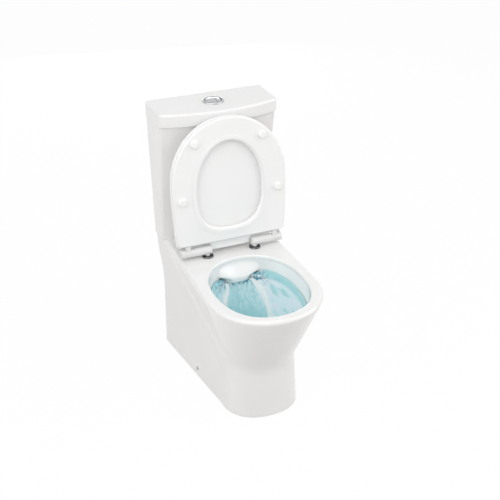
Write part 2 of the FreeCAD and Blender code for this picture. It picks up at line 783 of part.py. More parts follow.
# Dual-flush buttons: one round plate split off the middle, each half on its own rod
def make_buttons():
    sleeve_inside = sleeve_diameter - 2 * sleeve_wall
    bezel = rod(bezel_diameter, bezel_height, at(0, button_reach, lid_top))
    top_edge = [e for e in bezel.Edges if e.BoundBox.ZMin > lid_top + bezel_height - 0.01]
    bezel = bezel.makeFillet(bezel_edge_radius, top_edge)
    sleeve_base = at(0, button_reach, lid_top - sleeve_drop)
    bezel = bezel.fuse(rod(sleeve_diameter, sleeve_drop, sleeve_base))
    bezel = bezel.cut(rod(sleeve_inside, sleeve_drop + bezel_height, sleeve_base))
    save("button_bezel", bezel.removeSplitter())
    nut_base = at(0, button_reach, lid_top - lid_roof - button_nut_height)
    save("button_nut", hexagon(bezel_diameter, button_nut_height, nut_base).cut(
        rod(sleeve_diameter + 2 * pin_clearance, button_nut_height, nut_base)))

    plate_bottom = lid_top + bezel_height + button_rise - button_thickness
    plate = rod(sleeve_inside - 2 * button_clearance, button_thickness, at(0, button_reach, plate_bottom))
    half = sleeve_inside
    split_left = block(-half, button_split - button_clearance / 2, button_reach - half, button_reach + half,
                       plate_bottom, plate_bottom + button_thickness)
    split_right = block(button_split + button_clearance / 2, half, button_reach - half, button_reach + half,
                        plate_bottom, plate_bottom + button_thickness)
    rod_bottom = tower_top + head_height + rod_gap
    for name, cutter, x in (("full", split_left, -rod_half_spacing), ("half", split_right, rod_half_spacing)):
        button = plate.common(cutter)
        edges = [e for e in button.Edges if e.BoundBox.ZMin > plate_bottom + button_thickness - 0.01]
        save(name + "_flush_button", button.makeFillet(button_edge_radius, edges))
        rod_base = at(x, button_reach, rod_bottom)
        save(name + "_push_rod", rod(rod_diameter, plate_bottom - rod_bottom, rod_base))


# Fill valve with its float on a swinging arm
fill_flange_bottom = cistern_inside + fill_washer_thickness
riser_top = fill_flange_bottom + riser_height
float_axis_z = riser_top + fill_head_height / 2
float_axis_x = fill_x - fill_head_diameter / 2 - float_arm_thickness - running_clearance


def make_fill_valve():
    nut_base = at(fill_x, fill_reach, rim_height - fill_nut_height)
    shank_bottom = nut_base - Vector(0, 0, inlet_length)
    body = rod(shank_diameter, fill_flange_bottom - nut_base.z, nut_base)
    body = body.fuse([rod(inlet_diameter, inlet_length, shank_bottom),
                      rod(fill_flange_diameter, fill_flange_thickness,
                          at(fill_x, fill_reach, fill_flange_bottom)),
                      rod(riser_diameter, riser_height, at(fill_x, fill_reach, fill_flange_bottom))])
    body = body.cut(rod(shank_bore, riser_top - shank_bottom.z, shank_bottom))
    save("fill_valve_body", body.removeSplitter())
    snug = shank_diameter + 2 * pin_clearance
    save("fill_valve_washer", ring(fill_flange_diameter, snug, fill_washer_thickness,
                                   at(fill_x, fill_reach, cistern_inside)))
    save("fill_valve_nut", hexagon(fill_nut_diameter, fill_nut_height, nut_base).cut(
        rod(snug, fill_nut_height, nut_base)))

    head = rod(fill_head_diameter, fill_head_height, at(fill_x, fill_reach, riser_top))
    lug_x = float_axis_x - float_arm_thickness
    lug_half = float_arm_thickness / 2 + running_clearance + float_lug_thickness
    for side in (-1, 1):
        inner = fill_reach + side * (float_arm_thickness / 2 + running_clearance)
        outer = fill_reach + side * lug_half
        head = head.fuse(block(lug_x, fill_x, min(inner, outer), max(inner, outer),
                               float_axis_z - float_arm_thickness, float_axis_z + float_arm_thickness))
    pin_base = at(float_axis_x, fill_reach + lug_half, float_axis_z)
    pin_axis = Vector(0, 1, 0)
    pin = rod(float_pin_diameter, 2 * lug_half, pin_base, pin_axis)
    save("fill_valve_head", head.cut(pin).removeSplitter())
    save("float_pin", pin)
    cap_base = riser_top + fill_head_height
    cap = rod(fill_head_diameter - 2 * fill_cap_step, fill_cap_height, at(fill_x, fill_reach, cap_base))
    top_edge = [e for e in cap.Edges if e.BoundBox.ZMin > cap_base + fill_cap_height - 0.01]
    save("fill_valve_cap", cap.makeFillet(fill_cap_edge_radius, top_edge))

    float_x = float_axis_x - float_distance + float_width / 2
    half = float_arm_thickness / 2
    arm = block(float_x, float_axis_x, fill_reach - half, fill_reach + half,
                float_axis_z - half, float_axis_z + half)
    eye_base = at(float_axis_x, fill_reach + half, float_axis_z)
    arm = arm.fuse(rod(2 * float_arm_thickness, float_arm_thickness, eye_base, pin_axis))
    arm = arm.cut(rod(float_pin_diameter + 2 * pin_clearance, float_arm_thickness, eye_base, pin_axis))
    save("float_arm", arm.removeSplitter())
    body = block(float_x - float_width, float_x, fill_reach - float_depth / 2, fill_reach + float_depth / 2,
                 float_axis_z - float_below_arm, float_axis_z + float_above_arm)
    upright = [e for e in body.Edges if e.BoundBox.ZLength > float_below_arm + float_above_arm - 0.01]
    save("float", body.makeFillet(float_edge_radius, upright))


# Seat ring and lid are drawn closed, in a frame on the hinge axis, and turned up to rest
lid_back_face = seat_underside + seat_thickness + seat_lid_gap + seat_lid_thickness - hinge_axis_height
lean_room = hinge_reach - cistern_front - rest_gap - lid_back_face
open_lean = math.degrees(math.asin(lean_room / (lid_top - lid_edge_radius - hinge_height)))
open_angle = 90.0 + open_lean


def seat_point(x, forward, height):
    return at(x, hinge_reach + forward, rim_height + height)


def turned_up(shape):
    lifted = shape.copy()
    lifted.rotate(at(0, hinge_reach, hinge_height), Vector(-1, 0, 0), open_angle)
    return lifted


def curve_through(points):
    curve = Part.BSplineCurve()
    curve.interpolate(Points=points)
    return curve.toShape()


def round_points(half_width, length, centre, power, height, forward):
    points = []
    for degrees in range(0, 181, 12):
        angle = math.radians(degrees)
        across = math.copysign(abs(math.cos(angle)) ** (2 / power), math.cos(angle))
        along = forward * abs(math.sin(angle)) ** (2 / power)
        points.append(seat_point(half_width * across, centre + length * along, height))
    return points


def seat_outline(inset, height, rear_edge):
    front = round_points(seat_half_width - inset, seat_length - seat_centre - inset, seat_centre,
                         seat_bluntness, height, 1)
    back_width = seat_back_half_width - inset
    side = []
    for share in (0.0, 0.3, 0.6, 0.85):
        narrowing = (1 - share) ** 2
        x = mix(seat_half_width - inset, back_width, narrowing)
        side.append(seat_point(x, mix(rear_edge, seat_centre, share), height))
    other_side = [Vector(-point.x, point.y, point.z) for point in reversed(side)]
    edge = curve_through(side + front + other_side)
    return Part.Wire([edge, Part.LineSegment(other_side[-1], side[0]).toShape()])


def opening_outline(growth, height):
    width = opening_half_width + growth
    front = round_points(width, opening_front_length + growth, opening_centre, 2.0, height, 1)
    rear = round_points(width, opening_rear_length + growth, opening_centre, opening_rear_bluntness,
                        height, -1)
    curve = Part.BSplineCurve()
    curve.interpolate(Points=front + rear[-2:0:-1], PeriodicFlag=True)
    return Part.Wire([curve.toShape()])


def rounded_plate(plate, edge_radius, thickness, back_width):
    corners = [e for e in plate.Edges if e.BoundBox.ZLength > thickness - 0.01
               and abs(abs(e.BoundBox.XMin) - back_width) < 0.01]
    plate = plate.makeFillet(seat_corner_radius, corners)
    level = [e for e in plate.Edges if e.BoundBox.ZLength < 0.01]
    return plate.makeFillet(edge_radius, level)


# The lid has a flap that hangs down between the hinge barrels when it is up
def lid_plate(bottom):
    plate = raised(seat_outline(seat_lid_inset, bottom, lid_rear_edge), seat_lid_thickness)
    half = barrel_inner_x - lid_flap_gap
    edge = hinge_reach + lid_rear_edge
    flap = block(-half, half, edge - lid_flap_depth, edge + lid_flap_gap, rim_height + bottom,
                 rim_height + bottom + seat_lid_thickness)
    plate = plate.fuse(flap).removeSplitter()
    corners = [e for e in plate.Edges if e.BoundBox.ZLength > seat_lid_thickness - 0.01
               and abs(abs(e.BoundBox.XMin) - half) < 0.01]
    return plate.makeFillet(lid_flap_radius, corners)


def plate_heights(which):
    if which == 0:
        return seat_underside, seat_underside + seat_thickness
    low = seat_underside + seat_thickness + seat_lid_gap
    return low, low + seat_lid_thickness


def make_seat():
    plate = raised(seat_outline(0, seat_underside, seat_rear_edge), seat_thickness)
    plate = plate.cut(raised(opening_outline(0, seat_underside), seat_thickness))
    plate = rounded_plate(plate, seat_edge_radius, seat_thickness, seat_back_half_width)
    bead = raised(opening_outline(bead_inset + bead_width, seat_underside - bead_height), bead_height + 1)
    bead = bead.cut(raised(opening_outline(bead_inset, seat_underside - bead_height), bead_height + 1))
    plate = plate.fuse(bead).cut(pair(tongue_block(0, pin_clearance)))
    save("seat_ring", turned_up(plate))

    bumpers = []
    for x, forward in bumper_places:
        bumper = rod(bumper_diameter, seat_underside - bumper_gap, seat_point(x, forward, bumper_gap))
        low = [e for e in bumper.Edges if e.BoundBox.ZMax < rim_height + bumper_gap + 0.01]
        bumpers += pair(bumper.makeFillet(bumper_edge_radius, low))
    save("seat_bumpers", *[turned_up(bumper) for bumper in bumpers])

    lid_bottom = plate_heights(1)[0]
    lid = rounded_plate(lid_plate(lid_bottom), seat_lid_edge_radius, seat_lid_thickness,
                        seat_back_half_width - seat_lid_inset)
    save("seat_lid", turned_up(lid.cut(pair(tongue_block(1, pin_clearance)))))
    pads = []
    for x, forward in lid_bumper_places:
        pad = rod(lid_bumper_diameter, seat_lid_gap - bumper_gap,
                  seat_point(x, forward, lid_bottom - seat_lid_gap + bumper_gap))
        pads += pair(pad)
    save("lid_bumpers", *[turned_up(pad) for pad in pads])


def knuckle_span(which):
    seat_start = barrel_outer_x + knuckle_gap
    if which == 0:
        return seat_start, seat_knuckle_length
    return seat_start + seat_knuckle_length + knuckle_gap, lid_knuckle_length


def tongue_block(which, clearance):
    start, length = knuckle_span(which)
    low = rim_height + (sum(plate_heights(which)) - tongue_thickness) / 2
    return block(start - clearance, start + length + clearance, hinge_reach,
                 hinge_reach + tongue_depth + clearance, low - clearance, low + tongue_thickness + clearance)


def make_knuckles():
    pin_bore = hinge_pin_diameter + 2 * pin_clearance
    for which, name in ((0, "seat_knuckles"), (1, "lid_knuckles")):
        start, length = knuckle_span(which)
        base = at(start, hinge_reach, hinge_height)
        neck_end = hinge_reach + (seat_rear_edge, lid_rear_edge)[which] - knuckle_gap
        low, high = plate_heights(which)
        neck = block(start, start + length, hinge_reach, neck_end,
                     min(hinge_height, rim_height + low + neck_step),
                     max(hinge_height, rim_height + high - neck_step))
        knuckle = rod(barrel_diameter, length, base, ACROSS).fuse([tongue_block(which, 0.0), neck])
        knuckle = knuckle.cut(rod(pin_bore, length, base, ACROSS)).removeSplitter()
        save(name, *pair(turned_up(knuckle)))


def make_hinges():
    start, length = knuckle_span(1)
    end_x = start + length
    axis_at = at(barrel_inner_x + hinge_pin_inset, hinge_reach, hinge_height)
    pin = rod(hinge_pin_diameter, end_x - axis_at.x, axis_at, ACROSS)
    save("hinge_pins", *pair(pin))
    rosette_top = rim_height + rosette_height
    post = rod(post_diameter, hinge_height - rosette_top, at(hinge_half_spacing, hinge_reach, rosette_top))
    barrel_base = at(barrel_inner_x, hinge_reach, hinge_height)
    barrel_length = barrel_outer_x - barrel_inner_x
    outer_barrel = rod(barrel_diameter, barrel_length, barrel_base, ACROSS)
    post = post.cut(rod(barrel_diameter, barrel_length, barrel_base, ACROSS))
    save("hinge_posts", *pair(post))
    round_ends = [e for e in outer_barrel.Edges
                  if e.BoundBox.XLength < 0.01 and e.BoundBox.XMax < barrel_inner_x + 1]
    barrel = outer_barrel.makeFillet(barrel_edge_radius, round_ends)
    barrel = barrel.cut(rod(hinge_pin_diameter, barrel_length, axis_at, ACROSS))
    save("soft_close_barrels", *pair(barrel))

    rosette = rod(rosette_diameter, rosette_height, at(hinge_half_spacing, hinge_reach, rim_height))
    rim_edges = [e for e in rosette.Edges if e.BoundBox.ZMin > rosette_top - 0.01]
    rosette = rosette.makeFillet(rosette_edge_radius, rim_edges)
    stud_top = at(hinge_half_spacing, hinge_reach, rosette_top)
    rosette = rosette.cut(rod(stud_diameter, rosette_height, stud_top, DOWN))
    save("hinge_rosettes", *pair(rosette))
    save("hinge_studs", *pair(rod(stud_diameter, stud_length, stud_top, DOWN)))
    snug = stud_diameter + 2 * pin_clearance
    washer_base = deck_underside - hinge_washer_thickness
    save("hinge_washers", *pair(ring(hinge_washer_diameter, snug, hinge_washer_thickness,
                                     at(hinge_half_spacing, hinge_reach, washer_base))))
    nut_base = at(hinge_half_spacing, hinge_reach, washer_base - hinge_nut_height)
    save("hinge_nuts", *pair(hexagon(hinge_nut_diameter, hinge_nut_height, nut_base).cut(
        rod(snug, hinge_nut_height, nut_base))))


# Side fixings: an angle bracket behind each side wall takes a screw from outside
def make_side_fixings():
    wall_out = skin_half_width(side_screw_height, 0.0, side_screw_reach)
    near_edge = skin_half_width(0.0, pan_wall, side_screw_reach + bracket_width / 2)
    face = near_edge - bracket_gap
    half = bracket_width / 2
    upright = block(face - bracket_thickness, face, side_screw_reach - half, side_screw_reach + half,
                    0, bracket_height)
    foot = block(face - bracket_foot, face, side_screw_reach - half, side_screw_reach + half,
                 0, bracket_thickness)
    screw_end = at(face - 3 * bracket_thickness, side_screw_reach, side_screw_height)
    bracket = upright.fuse(foot).cut([
        rod(side_screw_diameter + 2 * pin_clearance, 4 * bracket_thickness, screw_end, ACROSS),
        rod(floor_hole_diameter, 2 * bracket_thickness,
            at(face - bracket_foot / 2 - bracket_thickness / 2, side_screw_reach, -1)),
    ])
    save("floor_brackets", *pair(bracket.removeSplitter()))
    seat_x = wall_out + side_screw_standoff
    screw = rod(side_screw_diameter, seat_x - screw_end.x, screw_end, ACROSS)
    head = rod(side_screw_head_diameter, side_screw_head_height,
               at(seat_x, side_screw_reach, side_screw_height), ACROSS)
    outer = [e for e in head.Edges if e.BoundBox.XMin > seat_x + side_screw_head_height - 0.01]
    save("side_screws", *pair(screw.fuse(head.makeFillet(side_screw_edge_radius, outer)).removeSplitter()))


make_pan()
save("cistern", make_cistern())
save("cistern_lid", make_cistern_lid())
make_coupling()
make_flush_valve()
make_buttons()
make_fill_valve()
make_seat()
make_knuckles()
make_hinges()
make_side_fixings()
print("seat and lid open to", round(open_angle, 2), "degrees")
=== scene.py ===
import bpy
import json
import math
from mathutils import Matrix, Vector


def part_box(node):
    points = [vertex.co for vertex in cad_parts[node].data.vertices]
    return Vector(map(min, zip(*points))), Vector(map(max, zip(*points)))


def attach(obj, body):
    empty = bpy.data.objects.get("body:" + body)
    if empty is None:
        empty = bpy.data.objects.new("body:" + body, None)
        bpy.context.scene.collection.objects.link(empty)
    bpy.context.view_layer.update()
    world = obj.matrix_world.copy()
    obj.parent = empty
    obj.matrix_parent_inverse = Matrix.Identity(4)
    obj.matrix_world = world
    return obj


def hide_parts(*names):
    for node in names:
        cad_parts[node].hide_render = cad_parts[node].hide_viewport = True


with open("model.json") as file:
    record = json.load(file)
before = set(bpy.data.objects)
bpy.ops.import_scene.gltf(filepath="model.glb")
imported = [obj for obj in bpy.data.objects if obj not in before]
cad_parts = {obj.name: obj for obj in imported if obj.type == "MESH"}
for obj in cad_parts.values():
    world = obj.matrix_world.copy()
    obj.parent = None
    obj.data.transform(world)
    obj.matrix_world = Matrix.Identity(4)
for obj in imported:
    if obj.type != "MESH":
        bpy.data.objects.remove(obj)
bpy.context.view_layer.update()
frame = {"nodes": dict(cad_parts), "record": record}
nodes = frame["nodes"]
print("frame loaded:", len(nodes), "nodes")


# camera, at the height of someone standing to the left of the front
cameraView = {
    "place": (-0.9947, -2.3810, 1.8972),
    "aim": (0.0, 0.015, 0.400),
    "lens": 72.0,
    "sensor": 36.0,
    "shift": (0.0156, 0.0285),
}


def turnTowards(thing, place, aim):
    look = Vector(aim) - Vector(place)
    thing.rotation_euler = look.to_track_quat("-Z", "Y").to_euler()


def placeCamera():
    bpy.ops.object.camera_add(location=cameraView["place"])
    camera = bpy.context.object
    camera.name = "photoCamera"
    turnTowards(camera, cameraView["place"], cameraView["aim"])
    camera.data.sensor_width = cameraView["sensor"]
    camera.data.lens = cameraView["lens"]
    camera.data.shift_x, camera.data.shift_y = cameraView["shift"]
    bpy.context.scene.camera = camera


placeCamera()
print("camera placed")


# small helpers for shader nodes
def startMaterial(name):
    material = bpy.data.materials.new(name)
    material.use_nodes = True
    tree = material.node_tree
    shader = tree.nodes["Principled BSDF"]
    return material, tree, shader


def addNode(tree, kind, **settings):
    node = tree.nodes.new(kind)
    for key, value in settings.items():
        setattr(node, key, value)
    return node


def objectPlace(tree):
    place = addNode(tree, "ShaderNodeTexCoord")
    split = addNode(tree, "ShaderNodeSeparateXYZ")
    tree.links.new(place.outputs["Object"], split.inputs[0])
    return split.outputs


def objectNoise(tree, scale, detail=2.0, stretch=(1.0, 1.0, 1.0), roughness=0.5):
    place = addNode(tree, "ShaderNodeTexCoord")
    mapping = addNode(tree, "ShaderNodeMapping")
    mapping.inputs["Scale"].default_value = stretch
    noise = addNode(tree, "ShaderNodeTexNoise")
    noise.inputs["Scale"].default_value = scale
    noise.inputs["Detail"].default_value = detail
    noise.inputs["Roughness"].default_value = roughness
    tree.links.new(place.outputs["Object"], mapping.inputs["Vector"])
    tree.links.new(mapping.outputs["Vector"], noise.inputs["Vector"])
    return noise.outputs["Fac"]


def colourRamp(tree, value, stops):
    ramp = addNode(tree, "ShaderNodeValToRGB")
    while len(ramp.color_ramp.elements) < len(stops):
        ramp.color_ramp.elements.new(0.5)
    for element, (at, colour) in zip(ramp.color_ramp.elements, stops):
        element.position = at
        element.color = (*colour, 1.0)
    tree.links.new(value, ramp.inputs["Fac"])
    return ramp.outputs["Color"]


def between(tree, noise, low, high):
    spread = addNode(tree, "ShaderNodeMapRange")
    spread.inputs["From Min"].default_value = 0.25  # noise seldom leaves 0.25 to 0.75
    spread.inputs["From Max"].default_value = 0.75
    spread.inputs["To Min"].default_value = low
    spread.inputs["To Max"].default_value = high
    tree.links.new(noise, spread.inputs["Value"])
    return spread.outputs["Result"]


def roughen(tree, shader, value, strength, distance):
    bump = addNode(tree, "ShaderNodeBump")
    bump.inputs["Strength"].default_value = strength
    bump.inputs["Distance"].default_value = distance
    tree.links.new(value, bump.inputs["Height"])
    tree.links.new(bump.outputs["Normal"], shader.inputs["Normal"])


def mathNode(tree, operation, *values):
    node = addNode(tree, "ShaderNodeMath", operation=operation)
    for socket, value in zip(node.inputs, values):
        if isinstance(value, (int, float)):
            socket.default_value = value
        else:
            tree.links.new(value, socket)
    return node.outputs[0]


def multiply(tree, first, second):
    return mathNode(tree, "MULTIPLY", first, second)


def multiplyAdd(tree, value, factor, extra):
    return mathNode(tree, "MULTIPLY_ADD", value, factor, extra)


def distanceFrom(tree, value, middle):
    return mathNode(tree, "ABSOLUTE", mathNode(tree, "SUBTRACT", value, middle))


def mixColours(tree, share, first, second):
    node = addNode(tree, "ShaderNodeMix", data_type="RGBA")
    tree.links.new(share, node.inputs[0])
    for socket, value in ((node.inputs[6], first), (node.inputs[7], second)):
        if isinstance(value, tuple):
            socket.default_value = (*value, 1.0)
        else:
            tree.links.new(value, socket)
    return node.outputs[2]


def softStep(tree, value, low, high):
    node = addNode(tree, "ShaderNodeMapRange", interpolation_type="SMOOTHSTEP")
    node.inputs["From Min"].default_value = low
    node.inputs["From Max"].default_value = high
    tree.links.new(value, node.inputs["Value"])
    return node.outputs["Result"]


# each finish: noise and colours of the mottle, noise and range of the gloss, noise and depth of the grain
def mouldedLook(name, deep, pale, roughness):
    return {
        "name": name,
        "mottle": {"scale": 30.0, "detail": 4.0}, "colours": [(0.28, deep), (0.66, pale)],
        "gloss": {"scale": 140.0}, "roughness": roughness,
        "grain": {"scale": 800.0, "detail": 3.0}, "relief": (0.10, 0.0003),
    }


def chromeLook(name, dim, bright):
    wipeMarks = {"scale": 40.0, "detail": 4.0, "stretch": (1.0, 6.0, 1.0)}
    return {
        "name": name,
        "mottle": wipeMarks, "colours": [(0.30, dim), (0.65, bright)],
        "gloss": wipeMarks, "roughness": (0.05, 0.13),
        "grain": {"scale": 240.0}, "relief": (0.02, 0.0002),
        "sockets": {"Metallic": 1.0},
    }


# finishes by the record's slots
slotLooks = {
    # a thick, slightly uneven white glaze
    "china": {
        "name": "glazedChina",
        "mottle": {"scale": 5.0, "detail": 3.0},
        "colours": [(0.30, (0.822, 0.815, 0.806)), (0.62, (0.850, 0.850, 0.846))],
        "gloss": {"scale": 22.0}, "roughness": (0.06, 0.12),
        "grain": {"scale": 55.0, "detail": 1.0}, "relief": (0.05, 0.0006),
        "sockets": {"IOR": 1.52, "Coat Weight": 0.25, "Coat Roughness": 0.03},
    },
    # moulded urea plastic of the ring and lid: hard, glossy, a touch warmer in the thin places
    "seat_plastic": {
        "name": "seatPlastic",
        "mottle": {"scale": 7.0, "detail": 2.0, "stretch": (1.0, 1.0, 0.4)},
        "colours": [(0.32, (0.885, 0.883, 0.878)), (0.60, (0.905, 0.905, 0.902))],
        "gloss": {"scale": 60.0}, "roughness": (0.16, 0.24),
        "grain": {"scale": 420.0, "detail": 2.0}, "relief": (0.03, 0.0002),
        "sockets": {"IOR": 1.50},
    },
    "bumper": {
        "name": "bumperRubber",
        "mottle": {"scale": 90.0, "detail": 3.0},
        "colours": [(0.30, (0.88, 0.88, 0.87)), (0.70, (0.93, 0.93, 0.92))],
        "gloss": {"scale": 160.0}, "roughness": (0.42, 0.55),
        "grain": {"scale": 900.0}, "relief": (0.08, 0.0002),
    },
    "chrome": chromeLook("polishedChrome", (0.42, 0.43, 0.44), (0.60, 0.61, 0.62)),
    # zinc plate of bolts, studs and pins
    "steel": {
        "name": "zincSteel",
        "mottle": {"scale": 180.0, "detail": 5.0},
        "colours": [(0.30, (0.40, 0.41, 0.42)), (0.52, (0.56, 0.57, 0.58)), (0.75, (0.66, 0.66, 0.63))],
        "gloss": {"scale": 320.0}, "roughness": (0.26, 0.44),
        "grain": {"scale": 700.0}, "relief": (0.12, 0.0002),
        "sockets": {"Metallic": 1.0},
    },
    "valve_plastic": mouldedLook("valvePlastic", (0.72, 0.73, 0.75), (0.80, 0.81, 0.82), (0.34, 0.48)),
    "nut_plastic": mouldedLook("nutPlastic", (0.11, 0.115, 0.12), (0.16, 0.165, 0.175), (0.42, 0.56)),
    "rubber": mouldedLook("sealRubber", (0.025, 0.025, 0.027), (0.045, 0.045, 0.048), (0.62, 0.76)),
}

# the hinge barrels and knuckles are rougher than the ring, and coloured darker than it as painted shade
hingeShadedPlastic = {
    "name": "hingeShadedPlastic",
    "mottle": {"scale": 25.0, "detail": 3.0, "stretch": (0.3, 1.0, 1.0)},
    "colours": [(0.30, (0.715, 0.712, 0.705)), (0.66, (0.760, 0.758, 0.752))],
    "gloss": {"scale": 80.0}, "roughness": (0.38, 0.48),
    "grain": {"scale": 600.0, "detail": 2.0}, "relief": (0.06, 0.0002),
    "nodes": ("soft_close_barrels", "seat_knuckles", "lid_knuckles"),
}
# painted reflection: the rosettes' chrome is coloured near black, for dark surroundings that it would
# reflect
rosetteDarkReflection = chromeLook("chromePaintedDarkReflection", (0.06, 0.06, 0.07), (0.17, 0.17, 0.17))


def makeFinish(look):
    material, tree, shader = startMaterial(look["name"])
    mottle = objectNoise(tree, **look["mottle"])
    tree.links.new(colourRamp(tree, mottle, look["colours"]), shader.inputs["Base Color"])
    gloss = objectNoise(tree, **look["gloss"])
    tree.links.new(between(tree, gloss, *look["roughness"]), shader.inputs["Roughness"])
    roughen(tree, shader, objectNoise(tree, **look["grain"]), *look["relief"])
    for socket, value in look.get("sockets", {}).items():
        shader.inputs[socket].default_value = value
    return material


# painted light: below the rim the inside of the bowl is coloured paler than the outside, to lift the shade
# in the bowl
bowlPaintedLight = {
    "colours": [(0.30, (0.940, 0.932, 0.928)), (0.62, (0.955, 0.948, 0.945))],
    "fadeHeights": (0.397, 0.380),
    # the nose at the back takes less of the painted light
    "noseReach": (0.045, 0.000),
    "noseShare": 0.35,
    "nodes": ("pan_bowl", "pan_flush_way"),
}


def makeBowlPaintedLight():
    material = finishes["china"].copy()
    material.name = "bowlChinaPaintedLight"
    tree = material.node_tree
    colour = tree.nodes["Principled BSDF"].inputs["Base Color"]
    outside = colour.links[0].from_socket
    # painted light: the paler colour is mixed in below the rim, with less of it on the nose
    inside = colourRamp(tree, objectNoise(tree, **slotLooks["china"]["mottle"]), bowlPaintedLight["colours"])
    place = objectPlace(tree)
    depth = softStep(tree, place["Z"], *bowlPaintedLight["fadeHeights"])
    share = multiplyAdd(tree, softStep(tree, place["Y"], *bowlPaintedLight["noseReach"]),
                        1.0 - bowlPaintedLight["noseShare"], bowlPaintedLight["noseShare"])
    tree.links.new(mixColours(tree, multiply(tree, depth, share), outside, inside), colour)
    return material


# the bezel is plated as the buttons are, with painted shade, a near-black ring, in its bore round them
bezelFinish = {
    "middle": (0.0, 0.2394),
    "boreRadius": 0.0262,
    "boreShade": (0.090, 0.090, 0.095),
}


def makeBezelChrome():
    material, tree, shader = startMaterial("bezelChrome")
    place = addNode(tree, "ShaderNodeTexCoord")
    mapping = addNode(tree, "ShaderNodeMapping", vector_type="POINT")
    mapping.inputs["Location"].default_value = (-bezelFinish["middle"][0], -bezelFinish["middle"][1], 0.0)
    mapping.inputs["Scale"].default_value = (1.0, 1.0, 0.0)
    length = addNode(tree, "ShaderNodeVectorMath", operation="LENGTH")
    tree.links.new(place.outputs["Object"], mapping.inputs["Vector"])
    tree.links.new(mapping.outputs["Vector"], length.inputs[0])
    # painted shade: inside the bore radius the plate colour gives way to near black
    outside = mathNode(tree, "GREATER_THAN", length.outputs["Value"], bezelFinish["boreRadius"])
    look = slotLooks["chrome"]
    wipe = objectNoise(tree, **look["mottle"])
    plate = colourRamp(tree, wipe, look["colours"])
    tree.links.new(mixColours(tree, outside, bezelFinish["boreShade"], plate), shader.inputs["Base Color"])
    tree.links.new(between(tree, wipe, *look["roughness"]), shader.inputs["Roughness"])
    shader.inputs["Metallic"].default_value = 1.0
    return material


def giveFinish(names, material):
    for name in names:
        nodes[name].data.materials.clear()
        nodes[name].data.materials.append(material)


finishes = {slot: makeFinish(look) for slot, look in slotLooks.items()}
for part in frame["record"]["subparts"]:
    giveFinish([part["node"]], finishes[part["material_slot"]])
giveFinish(["hinge_rosettes"], makeFinish(rosetteDarkReflection))
giveFinish(["button_bezel"], makeBezelChrome())
giveFinish(hingeShadedPlastic["nodes"], makeFinish(hingeShadedPlastic))
giveFinish(bowlPaintedLight["nodes"], makeBowlPaintedLight())
print("finishes given to", len(nodes), "nodes")


# helpers for modelling by hand
def startPiece(name, addPrimitive, **settings):
    bpy.ops.object.select_all(action="DESELECT")
    addPrimitive(**settings)
    piece = bpy.context.object
    piece.name = name
    piece.data.name = name
    return piece


def pickPoints(piece, wanted):
    bpy.ops.object.mode_set(mode="EDIT")
    bpy.ops.mesh.select_mode(type="VERT")
    bpy.ops.mesh.select_all(action="DESELECT")
    bpy.ops.object.mode_set(mode="OBJECT")
    for point in piece.data.vertices:
        point.select = wanted(point.co)
    bpy.ops.object.mode_set(mode="EDIT")


def pickFaces(piece, wanted):
    bpy.ops.object.mode_set(mode="EDIT")
    bpy.ops.mesh.select_mode(type="FACE")
    bpy.ops.mesh.select_all(action="DESELECT")
    bpy.ops.object.mode_set(mode="OBJECT")
    for face in piece.data.polygons:
        face.select = wanted(face.center)
    bpy.ops.object.mode_set(mode="EDIT")


def addModifier(piece, kind, **settings):
    modifier = piece.modifiers.new(kind.lower(), kind)
    for key, value in settings.items():
        setattr(modifier, key, value)
    bpy.context.view_layer.objects.active = piece
    bpy.ops.object.modifier_apply(modifier=modifier.name)


def groupPoints(piece, name, wanted):
    group = piece.vertex_groups.new(name=name)
    group.add([point.index for point in piece.data.vertices if wanted(point.co)], 1.0, "REPLACE")
    return name


def clingToBowl(piece, offWall, group):
    addModifier(piece, "SHRINKWRAP", target=nodes["pan_bowl"], wrap_method="NEAREST_SURFACEPOINT",
                wrap_mode="ABOVE_SURFACE", offset=offWall, vertex_group=group)


def rippleSurface(piece, size, height):
    texture = bpy.data.textures.new(piece.name + "Ripple", "CLOUDS")
    texture.noise_scale = size
    texture.noise_depth = 2
    addModifier(piece, "DISPLACE", texture=texture, texture_coords="LOCAL", strength=height, mid_level=0.5)


# flush buttons: two domed caps, split to the right of the middle, with a groove round them
buttonCaps = {
    "radius": 0.0238,
    "segments": 96,
    "split": 0.0060,
    "splitGap": 0.0012,
    "edge": 0.0014,
    "splitEdge": 0.0004,
    # inset and rise of each step of the dome
    "dome": [(0.0030, 0.0007), (0.0045, 0.0006), (0.0060, 0.0004), (0.0060, 0.0001)],
    "sharpAngle": 35.0,
    "near": 0.00001,
    "weld": 0.00002,
    # node that each cap stands for, its body, and its side of the split
    "caps": {"fullButtonCap": ("full_flush_button", "full_button", -1.0),
             "halfButtonCap": ("half_flush_button", "half_button", 1.0)},
}


